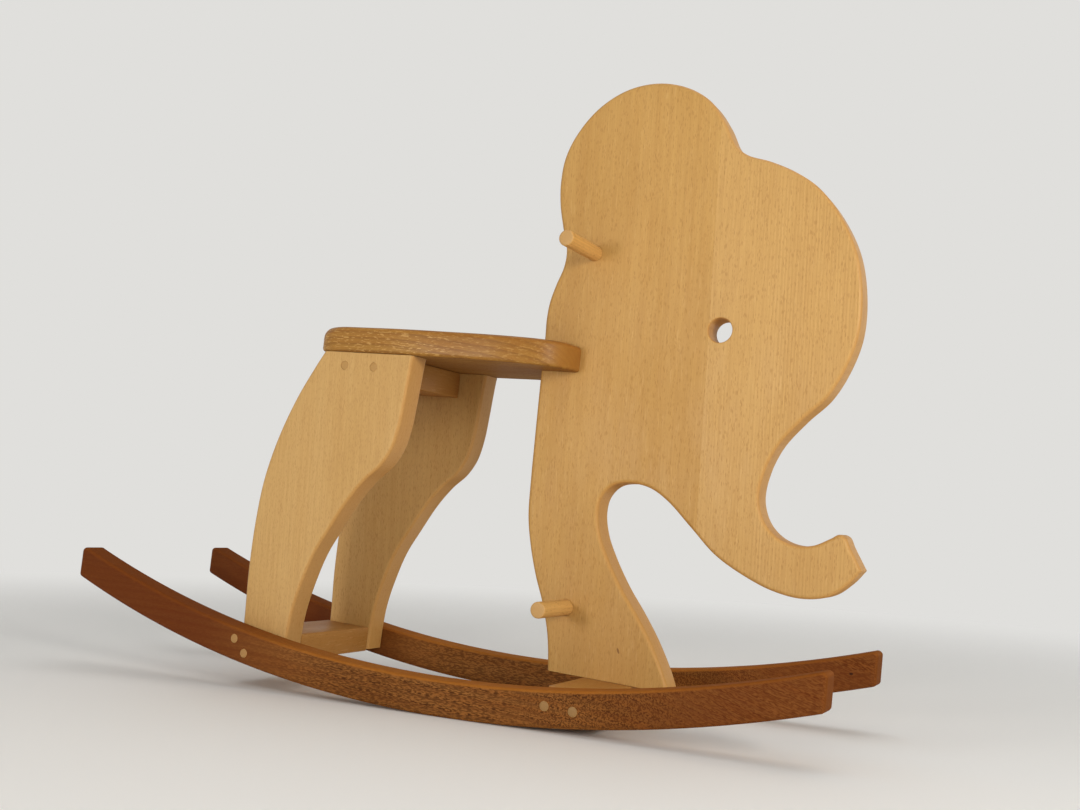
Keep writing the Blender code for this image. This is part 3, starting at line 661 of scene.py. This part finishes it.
pins = {
    "diameter": 0.008,
    "seam": 0.00014,        # the dark ring round each pin
    "easing": 0.0004,
    "intoRail": 0.028,
    "intoHead": 0.030,
    "intoSeat": 0.015,
    "intoSlot": 0.028,
    "sides": 48,
    "overrun": 0.010,       # how far a drill comes in from outside
}
rails = {
    "thickness": 0.024,
    "easing": 0.001,
    "topRise": 0.0278,      # top above the rockers' lower arc
    "frontCentre": 0.168,
    "frontWidth": 0.045,
    "rearCentre": -0.154,
    "rearWidth": 0.052,
    "rearLength": 0.108,
    "seatCentre": -0.0805,
    "seatWidth": 0.056,
}
seat = {
    "underside": 0.3045,
    "thickness": 0.0235,
    "halfWidth": 0.0825,
    "slotFrom": 0.0717,
    "lowerRounding": 0.003,
    "upperRounding": 0.005,
    "backRounding": 0.0105,
    "backFrom": -0.098,     # the upper rounding starts to grow here
    "backFull": -0.126,     # and is full from here to the back
}
legInner = rails["rearLength"] / 2 + boards["seam"]
legOuter = legInner + boards["thickness"]
rockerOuter = rocker["inner"] + boards["thickness"]
frontLength = 2 * (rocker["inner"] - boards["seam"])
seatMiddle = seat["underside"] + seat["thickness"] / 2


def railTop(centre):
    return rockerUnder(centre) + rails["topRise"]


frontHeight = railTop(rails["frontCentre"]) - rails["thickness"] / 2
rearHeight = railTop(rails["rearCentre"]) - rails["thickness"] / 2
legPinHeight = seat["underside"] - boards["seam"] - boards["thickness"] / 2
frontPinPlaces = [(rails["frontCentre"] + step, frontHeight) for step in (-0.0125, 0.0125)]
rearPinPlaces = [(rails["rearCentre"] - 0.0115, rearHeight + 0.0055),
                 (rails["rearCentre"] + 0.0015, rearHeight - 0.0060)]
legPinPlaces = [(rails["seatCentre"] + step, legPinHeight) for step in (-0.01625, 0.01625)]
footPinPlaces = [rails["frontCentre"] - 0.011, rails["frontCentre"] + 0.011]
seatPinPlaces = [-0.028, 0.028]


def drill(start, end, diameter=pins["diameter"]):
    length = np.linalg.norm(np.subtract(end, start))
    radius = diameter / 2 + pins["seam"]
    return turnedSolid("drill", start, end, ((0, radius), (length, radius)), pins["sides"])


def sideDrills(places, side, inner, outer):
    return [drill((along, side * inner, up), (along, side * outer, up)) for along, up in places]


bothSides = (("right", -1), ("left", 1))
for sideName, side in bothSides:
    knots = ((0.3534, 0.0695, 0.0034, 0.0022, 10),) if side > 0 else ()
    wood = oak("oiled_oak_rocker_" + sideName, knots=knots, **rockerWood,
               shift=(0.05 * side, 0.21 + 0.3 * side, 0.4 * side))
    middle = rocker["inner"] + boards["thickness"] / 2
    piece = boardSolid("rocker_" + sideName + "_fine", rockerOutline(), boards["thickness"],
                       upright(side * middle), wood)
    cutWith(piece, sideDrills(frontPinPlaces + rearPinPlaces, side,
                              rocker["inner"] - pins["overrun"], rockerOuter + pins["overrun"]))
    finishPiece(piece, "oak_rocker", "rocker_" + sideName)
print("rockers bent and drilled")


legs = {
    "footRise": 0.0057,     # foot above the rockers' lower arc
    "back": (
        (-179, 5), (-179.5, 45), (-181.5, 92), (-180.5, 140), (-176, 180), (-165, 220), (-149, 258),
        (-131, 290), (-112, 320),
    ),
    "front": (
        (-20, 320), (-23, 304), (-25, 285), (-27, 262), (-29.5, 240), (-35, 219), (-45, 203),
        (-60, 189), (-76, 169), (-93, 141), (-107, 116), (-117, 88), (-124, 60), (-126.5, 33), (-127, 5),
    ),
}
legWood = {
    "grain": (-0.06, 0, 1), "lineDepth": 0.07, "bandDepth": 0.22, "fibreDepth": 0.18,
    "pale": shown(212, 171, 108), "deep": shown(203, 160, 95), "warm": shown(197, 150, 84),
}
legOutline = joinRuns(*[smoothCurve(legs[run]) for run in ("back", "front")])
for sideName, side in bothSides:
    wood = beech("oiled_beech_leg_" + sideName, heart=(-0.05 * side, -0.11 * side), **legWood,
                 shift=(0.3 * side, 0.7, 0.2 * side))
    middle = (legInner + legOuter) / 2
    piece = boardSolid("rear_leg_" + sideName + "_fine", legOutline, boards["thickness"],
                       upright(side * middle), wood)
    sawSquare(piece, seat["underside"] - boards["seam"], True)
    sawSquare(piece, rockerUnder(rails["rearCentre"]) + legs["footRise"], False)
    cutWith(piece, sideDrills(legPinPlaces + rearPinPlaces, side,
                              legInner - pins["overrun"], legOuter + pins["overrun"]))
    finishPiece(piece, "beech_board", "rear_leg_" + sideName)
print("rear legs sawn")


def makeRail(name, centre, width, thickness, top, length, places, uprights, wood):
    low = (centre - width / 2, -length / 2, top - thickness)
    high = (centre + width / 2, length / 2, top)
    piece = blockSolid(name + "_fine", low, high, rails["easing"], wood)
    inner, outer = length / 2 - pins["intoRail"] - boards["seam"], length / 2 + pins["overrun"]
    drills = [one for _, side in bothSides for one in sideDrills(places, side, inner, outer)]
    drills += [drill((*spot, top - thickness - pins["overrun"]), (*spot, top + pins["overrun"]))
               for spot in uprights]
    cutWith(piece, drills)
    return finishPiece(piece, "beech_rail", name)


railWood = {
    "grain": acrossToy, "through": upToy, "heart": (0.02, -0.05), "ringWidth": 0.003, "lineDepth": 0.22,
    "pale": shown(186, 132, 66), "deep": shown(168, 114, 50), "edgeDepth": 0.15,
}
makeRail("front_rail", rails["frontCentre"], rails["frontWidth"], rails["thickness"],
         railTop(rails["frontCentre"]), frontLength, frontPinPlaces,
         [(along, 0) for along in footPinPlaces],
         beech("oiled_beech_front_rail", **railWood, shift=(0.1, 0.4, 0.9)))
makeRail("rear_rail", rails["rearCentre"], rails["rearWidth"], rails["thickness"],
         railTop(rails["rearCentre"]), rails["rearLength"], rearPinPlaces, [],
         beech("oiled_beech_rear_rail", **railWood, shift=(0.6, 0.1, 0.5)))
makeRail("seat_rail", rails["seatCentre"], rails["seatWidth"], boards["thickness"],
         seat["underside"] - boards["seam"], rails["rearLength"], legPinPlaces,
         [(rails["seatCentre"], across) for across in seatPinPlaces],
         beech("oiled_beech_seat_rail", **railWood, shift=(0.2, 0.9, 0.3)))
print("three rails fitted")


# half the seat's outline: millimetres along the toy, and a share of the half width
seatHalf = (
    (-134, 0.45), (-133.5, 0.68), (-131.2, 0.83), (-125.6, 0.93), (-115.5, 0.982), (-98, 0.998),
    (-75, 1), (-50, 1), (-22, 0.976), (10, 0.927), (40, 0.879), (65, 0.812), (85, 0.727),
    (97, 0.642), (105, 0.545), (109.5, 0.424), (111, 0.267), (111, 0),
)
seatWood = {
    "through": upToy, "heart": (0.012, -0.075), "ringWidth": 0.0058, "wobble": 0.03, "ringDepth": 0.5,
    "pale": shown(176, 130, 60), "deep": shown(156, 108, 44), "warm": shown(154, 98, 36),
    "line": shown(116, 72, 28), "pores": 0.62, "poreDepth": 0.6, "rayDepth": 0.72,
    "ray": shown(212, 168, 98),
    # the edge colour is a painted highlight on the upturned rounded edges, as in every oak piece
    "endGrain": shown(174, 120, 50), "edge": shown(176, 112, 44), "edgeDepth": 0.3,
    "swirl": 0.0, "sheen": 0.4, "shine": 0.22, "coat": 0.03, "shift": (0.4, 0.2, 0.1),
}
half = smoothCurve(np.multiply(seatHalf, (1, seat["halfWidth"] * 1000)))
back = np.linspace(half[0, 1], -half[0, 1], round(2 * half[0, 1] / 0.003))[1:-1]
back = np.column_stack((np.full(len(back), half[0, 0]), back))
seatOutline = joinRuns(half[::-1], back, half * (1, -1))
behind = (seatOutline[:, 0] - seat["backFrom"]) / (seat["backFull"] - seat["backFrom"])
behind = np.clip(behind, 0, 1)
behind = behind * behind * (3 - 2 * behind)
upper = seat["upperRounding"] + (seat["backRounding"] - seat["upperRounding"]) * behind
seatBoard = boardSolid("seat_fine", seatOutline, seat["thickness"], flat(seatMiddle),
                       oak("oiled_oak_seat", **seatWood), seat["lowerRounding"], upper)
slotHalf = boards["thickness"] / 2 + boards["seam"] / 2
slot = blockSolid("slot", (seat["slotFrom"], -slotHalf, seatMiddle - 0.02),
                  (half[-1][0] + 0.02, slotHalf, seatMiddle + 0.02), 0.0003)
cuts = [slot]
cuts.append(drill((seat["slotFrom"] - pins["intoSlot"] - boards["seam"], 0, seatMiddle),
                  (seat["slotFrom"] + pins["overrun"], 0, seatMiddle)))
for across in seatPinPlaces:
    cuts.append(drill((rails["seatCentre"], across, seat["underside"] - pins["overrun"]),
                      (rails["seatCentre"], across, seat["underside"] + pins["intoSeat"] + boards["seam"])))
cutWith(seatBoard, cuts)
finishPiece(seatBoard, "oak_seat", "seat")
print("seat slotted")


head = {
    "back": (
        (111, 20), (109.5, 45), (105.5, 72), (97.5, 98), (88, 121), (80, 146), (74.5, 172), (73, 205),
        (72.5, 240), (72, 295), (72, 335), (71.5, 352), (73, 368), (77.5, 384), (83.5, 401), (84.5, 416),
        (78.5, 437), (73, 459), (71, 481), (73.5, 504), (84, 527), (103, 549), (129, 564),
        (158, 568.5), (186, 563), (209, 549.5), (225, 529), (236, 509), (247, 500), (268, 493.5),
        (290, 484), (311, 470), (331, 446.5), (347, 416), (354.5, 381), (354.5, 348), (347, 321),
        (334, 296), (315, 276), (297, 253), (287.5, 229), (285.5, 208), (292, 190.5), (304, 179.5),
        (319, 175), (333, 176.5), (347, 184),
    ),
    "trunkEnd": ((347, 184), (352.5, 187.5), (358, 186), (362.5, 178), (373, 161)),
    "underTrunk": (
        (373, 161), (364, 149.5), (350, 138), (328, 133), (303, 136), (277, 145.5), (252, 159),
        (229, 179), (206, 199), (189, 208.5), (171, 211), (155, 207.5), (145.5, 197), (143, 183),
        (147, 164), (157, 144), (172, 121), (188, 101), (202.5, 81), (215, 60), (223, 43), (232, 20),
    ),
    "eyePlace": (0.2385, 0.3475),
    "eyeDiameter": 0.021,
    "eyeRounding": 0.0015,
    "shy": 0.0001,          # the smooth outline stays this far inside the CAD's, which has corners
}
bars = {
    "diameter": 0.014,
    "rounding": 0.0015,
    "handle": {"place": (0.1145, 0.413), "length": 0.146},
    "footRest": {"place": (0.122, 0.097), "length": 0.134},
}
headWood = {
    "grain": (-0.0362, 0, 1), "heart": (0.13, -0.24), "ringWidth": 0.0034, "lineDepth": 0.08,
    "knots": ((0.1756, 0.0676, 0.0052, 0.0020, 24),),
    "joint": {
        "at": 0.2410, "heart": (0.62, -0.02), "ringWidth": 0.0029, "lineDepth": 0.24,
        "colour": shown(222, 180, 116),
    },
}


def eyeDrill():
    # the eye is a round hole whose rim flares out by a quarter circle at both faces
    along, up = head["eyePlace"]
    turn = np.linspace(0, math.pi / 2, 11)
    depth = head["eyeRounding"] * (1 - np.cos(turn))
    radius = head["eyeDiameter"] / 2 + head["eyeRounding"] * (1 - np.sin(turn))
    face = boards["thickness"] / 2
    near = np.column_stack((face + depth, radius))
    near = np.vstack(((0, radius[0]), near))
    far = np.column_stack((2 * boards["thickness"] - near[::-1, 0], near[::-1, 1]))
    return turnedSolid("drill", (along, -boards["thickness"], up), (along, boards["thickness"], up),
                       np.vstack((near, far)), 96)


def crispRim(piece, place, reach):
    # The flat face keeps even light where the eye's flare meets it.
    centre = Vector(toWorld(np.array((place[0], 0, place[1]))))
    solid = bmesh.new()
    solid.from_mesh(piece.data)
    for edge in solid.edges:
        middle = (edge.verts[0].co + edge.verts[1].co) / 2 - centre
        if len(edge.link_faces) == 2 and math.hypot(middle.x, middle.z) < reach:
            flatFaces = [abs(one.normal.y) > 0.99999 for one in edge.link_faces]
            if flatFaces[0] != flatFaces[1]:
                edge.smooth = False
    solid.to_mesh(piece.data)
    solid.free()


headRuns = [smoothCurve(head[run]) for run in ("back", "trunkEnd", "underTrunk")]
headOutline = inset(joinRuns(*headRuns), head["shy"])
headBoard = boardSolid("head_board_fine", headOutline, boards["thickness"], upright(0),
                       beech("oiled_beech_head", **headWood))
footHeight = railTop(rails["frontCentre"])
sawSquare(headBoard, footHeight + boards["seam"], False)
cuts = [eyeDrill()]
for bar in (bars["handle"], bars["footRest"]):
    along, up = bar["place"]
    cuts.append(drill((along, -boards["thickness"], up), (along, boards["thickness"], up), bars["diameter"]))
for along in footPinPlaces:
    cuts.append(drill((along, 0, footHeight - pins["overrun"]),
                      (along, 0, footHeight + pins["intoHead"] + boards["seam"])))
cuts.append(drill((seat["slotFrom"] - pins["overrun"], 0, seatMiddle),
                  (seat["slotFrom"] + pins["intoSlot"] + boards["seam"], 0, seatMiddle)))
cutWith(headBoard, cuts)
finishPiece(headBoard, "beech_board", "head_board")
crispRim(headBoard, head["eyePlace"], head["eyeDiameter"])
print("head board sawn, with its eye")


barWood = {
    "grain": acrossToy, "through": upToy, "heart": (0.10, -0.10), "ringWidth": 0.0024, "wobble": 0.006,
    "pale": shown(228, 180, 106), "deep": shown(214, 162, 88), "lineDepth": 0.2, "edgeDepth": 0.0,
    "endGrain": shown(196, 154, 98), "endDepth": 0.8, "sheen": 0.4,
}
for name, bar, shift in (("handle_dowel", bars["handle"], 0.3), ("foot_rest_dowel", bars["footRest"], 0.8)):
    along, up = bar["place"]
    wood = beech("oiled_" + name, **barWood, shift=(shift, shift, shift))
    reach = bar["length"] / 2
    stations = roundedEnds(bar["length"], bars["diameter"] / 2, bars["rounding"], 8)
    piece = turnedSolid(name + "_fine", (along, -reach, up), (along, reach, up), stations, 72, wood)
    finishPiece(piece, "beech_dowel", name)
print("handle and foot rest turned")


pinWood = {**barWood, "endGrain": shown(168, 126, 74), "endDepth": 0.9, "shift": (0.5, 0.6, 0.7)}
# the front pins' end grain is darker, partly their own tone and partly painted shade for the dimmer light at
# the front of the rockers
frontPin = beech("oiled_pin_front", **{**pinWood, "endGrain": shown(144, 108, 62)})
rearPin = beech("oiled_pin_rear", **pinWood)
legPin = beech("oiled_pin_leg", **{**pinWood, "endGrain": shown(182, 140, 82)})
uprightPin = beech("oiled_pin_upright", **{**pinWood, "grain": upToy, "through": acrossToy})
alongPin = beech("oiled_pin_along", **{**pinWood, "grain": alongToy, "through": upToy})


def makePin(name, start, end, wood):
    length = np.linalg.norm(np.subtract(end, start))
    stations = roundedEnds(length, pins["diameter"] / 2, pins["easing"], 3)
    finishPiece(turnedSolid(name + "_fine", start, end, stations, pins["sides"], wood), "beech_dowel", name)


groups = (
    ("front_rail_pin", frontPinPlaces, frontLength, rockerOuter, frontPin),
    ("rear_rail_pin", rearPinPlaces, rails["rearLength"], rockerOuter, rearPin),
    ("leg_top_pin", legPinPlaces, rails["rearLength"], legOuter, legPin),
)
for group, places, length, outer, wood in groups:
    inner = length / 2 - pins["intoRail"]
    for sideName, side in bothSides:
        for number, (along, up) in enumerate(places, start=1):
            makePin(f"{group}_{sideName}_{number}", (along, side * inner, up), (along, side * outer, up),
                    wood)
for number, along in enumerate(footPinPlaces, start=1):
    makePin(f"foot_pin_{number}", (along, 0, footHeight - rails["thickness"]),
            (along, 0, footHeight + pins["intoHead"]), uprightPin)
for sideName, across in zip(("right", "left"), seatPinPlaces):
    makePin("seat_pin_" + sideName,
            (rails["seatCentre"], across, seat["underside"] - boards["seam"] - boards["thickness"]),
            (rails["seatCentre"], across, seat["underside"] + pins["intoSeat"]), uprightPin)
makePin("slot_pin", (seat["slotFrom"] - pins["intoSlot"], 0, seatMiddle),
        (seat["slotFrom"] + pins["intoSlot"], 0, seatMiddle), alongPin)
print("pins driven")


studio = {
    "rings": (0.4, 1.5),    # radii that divide the flat floor
    "sides": 128,
    "floorReach": 3.0,
    "bend": 1.4,
    "wallHeight": 4.2,
    "colour": shown(246, 245, 242),
    "backdrop": shown(224, 223, 220),
    "fadeFrom": 0.5,        # the floor turns into the plain backdrop between these two distances
    "fadeTo": 1.7,
    "sky": (1.0, 1.0, 1.0, 1.0),
    "skyStrength": 0.35,
    "litSpot": (0, 0, 0.28),
}


def floorMaterial():
    # A pale matt floor. Further off, eyes and reflections see an even backdrop in place of shaded wall,
    # while the light that reaches the toy still comes from the real, shaded one.
    material = bpy.data.materials.new("pale_floor")
    material.use_nodes = True
    tree = material.node_tree
    shader = tree.nodes["Principled BSDF"]
    shader.inputs["Base Color"].default_value = studio["colour"]
    shader.inputs["Roughness"].default_value = 0.85
    shader.inputs["Specular IOR Level"].default_value = 0.2
    rays = tree.nodes.new("ShaderNodeLightPath").outputs
    seen = maths(tree, "MAXIMUM", rays["Is Camera Ray"], rays["Is Glossy Ray"])
    seen = maths(tree, "MAXIMUM", seen, rays["Is Transmission Ray"])
    spot = tree.nodes.new("ShaderNodeTexCoord").outputs["Object"]
    share = times(tree, seen, ease(tree, lengthOf(tree, spot), studio["fadeFrom"], studio["fadeTo"]))
    glow = addNode(tree, "Emission", {"Color": studio["backdrop"], "Strength": 1.0})
    both = addNode(tree, "MixShader", {0: share, 1: shader.outputs[0], 2: glow})
    tree.links.new(both, tree.nodes["Material Output"].inputs["Surface"])
    return material


def studioFloor():
    # A profile carried round the middle: flat, then a quarter circle, then straight up.
    turn = np.linspace(0, math.pi / 2, 17)
    reach, bend = studio["floorReach"], studio["bend"]
    curve = np.column_stack((reach + bend * np.sin(turn), bend * (1 - np.cos(turn))))
    near, far = studio["rings"]
    profile = np.vstack(((near, 0), (far, 0), curve, (reach + bend, studio["wallHeight"])))
    sides = studio["sides"]
    angle = -2 * math.pi * np.arange(sides) / sides
    points = np.stack((profile[:, :1] * np.cos(angle), profile[:, :1] * np.sin(angle),
                       np.repeat(profile[:, 1:], sides, axis=1)), axis=-1)
    mesh = bpy.data.meshes.new("studio_floor")
    middle = [list(range(sides - 1, -1, -1))]
    mesh.from_pydata(points.reshape(-1, 3).tolist(), [], gridFaces(len(profile), sides) + middle)
    mesh.shade_smooth()
    mesh.materials.append(floorMaterial())
    floor = bpy.data.objects.new("studio_floor", mesh)
    scene.collection.objects.link(floor)


studioFloor()


lamps = {
    "key": {"place": (-0.32, -1.55, 0.34), "size": 0.34, "watts": 6.0, "colour": (1.0, 0.97, 0.93)},
    "side": {"place": (1.45, -0.90, 0.62), "size": 0.5, "watts": 12, "colour": (1.0, 0.97, 0.93)},
    "above": {"place": (0.3, 0.6, 2.6), "size": 2.4, "watts": 17, "colour": (1.0, 1.0, 1.0)},
}
for name, lamp in lamps.items():
    light = bpy.data.lights.new(name, "AREA")
    light.shape = "DISK"
    light.size = lamp["size"]
    light.energy = lamp["watts"]
    light.color = lamp["colour"]
    item = bpy.data.objects.new(name + "_lamp", light)
    scene.collection.objects.link(item)
    item.location = lamp["place"]
    item.rotation_mode = "QUATERNION"
    item.rotation_quaternion = (Vector(studio["litSpot"]) - item.location).to_track_quat("-Z", "Y")
    item.visible_camera = False

world = bpy.data.worlds.new("studio")
world.use_nodes = True
background = world.node_tree.nodes["Background"]
background.inputs["Color"].default_value = studio["sky"]
background.inputs["Strength"].default_value = studio["skyStrength"]
scene.world = world
print("floor and lamps set")


# The camera stands where the photograph was taken, worked out in the level frame: it is turned left,
# looks up a little, and is rolled, so that the toy leans nose-down in the picture.
camera = {
    "lens": 38.69,
    "place": (0.55997, -0.94397, 0.20055),
    "turnLeft": math.radians(27.48),
    "lookUp": math.radians(3.957),
    "roll": math.radians(-6.151),
}
turnLeft, lookUp, roll = camera["turnLeft"], camera["lookUp"], camera["roll"]
ahead = np.array((-math.sin(turnLeft) * math.cos(lookUp), math.cos(turnLeft) * math.cos(lookUp),
                  math.sin(lookUp)))
levelRight = np.array((math.cos(turnLeft), math.sin(turnLeft), 0))
levelDown = np.cross(ahead, levelRight)
right = math.cos(roll) * levelRight + math.sin(roll) * levelDown
down = -math.sin(roll) * levelRight + math.cos(roll) * levelDown
axes = tipForward @ np.column_stack((right, -down, -ahead))
cameraMatrix = Matrix(axes.tolist()).to_4x4()
cameraMatrix.translation = Vector(toWorld(np.array(camera["place"])))

view = bpy.data.cameras.new("photograph")
view.lens = camera["lens"]
view.sensor_width = 36
view.clip_start, view.clip_end = 0.05, 50
eye = bpy.data.objects.new("photograph_camera", view)
scene.collection.objects.link(eye)
eye.matrix_world = cameraMatrix
scene.camera = eye

scene.view_settings.view_transform = "Standard"
